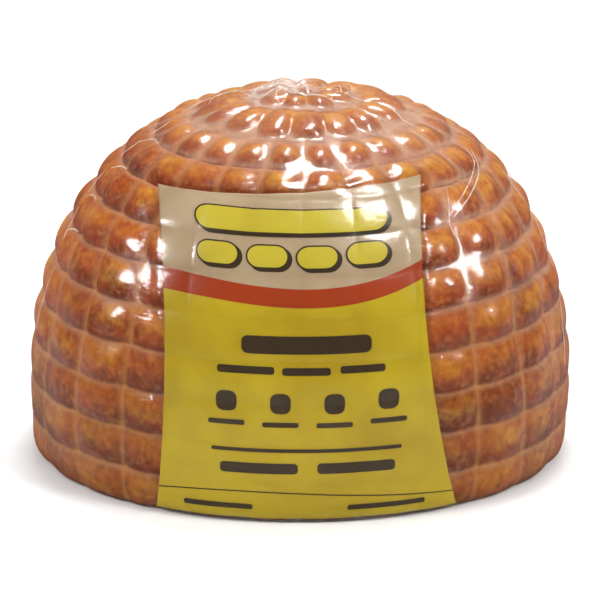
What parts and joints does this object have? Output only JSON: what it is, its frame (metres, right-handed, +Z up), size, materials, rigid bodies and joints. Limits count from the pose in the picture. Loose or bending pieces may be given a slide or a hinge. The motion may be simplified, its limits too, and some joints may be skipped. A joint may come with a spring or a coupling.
{
  "type": "shrink-wrapped half cooked ham",
  "caption": "Domed half of a boneless cooked ham with the pillowy marks of its cooking net, sealed in clear shrink film and standing on its flat cut face, with a printed label on its front.",
  "frame": {"origin": "middle of the flat cut face that the ham stands on", "axes": "+Z up through the crown, +X along the long way of the oval plan, -Y out through the label"},
  "size_m": [0.129, 0.1115, 0.0909],
  "materials": {
    "wrapped_meat": "gloss",
    "label_print": "gloss"
  },
  "bodies": {
    "root": {"wrapped_ham": "wrapped_meat", "label": "label_print"}
  },
  "joints": []
}
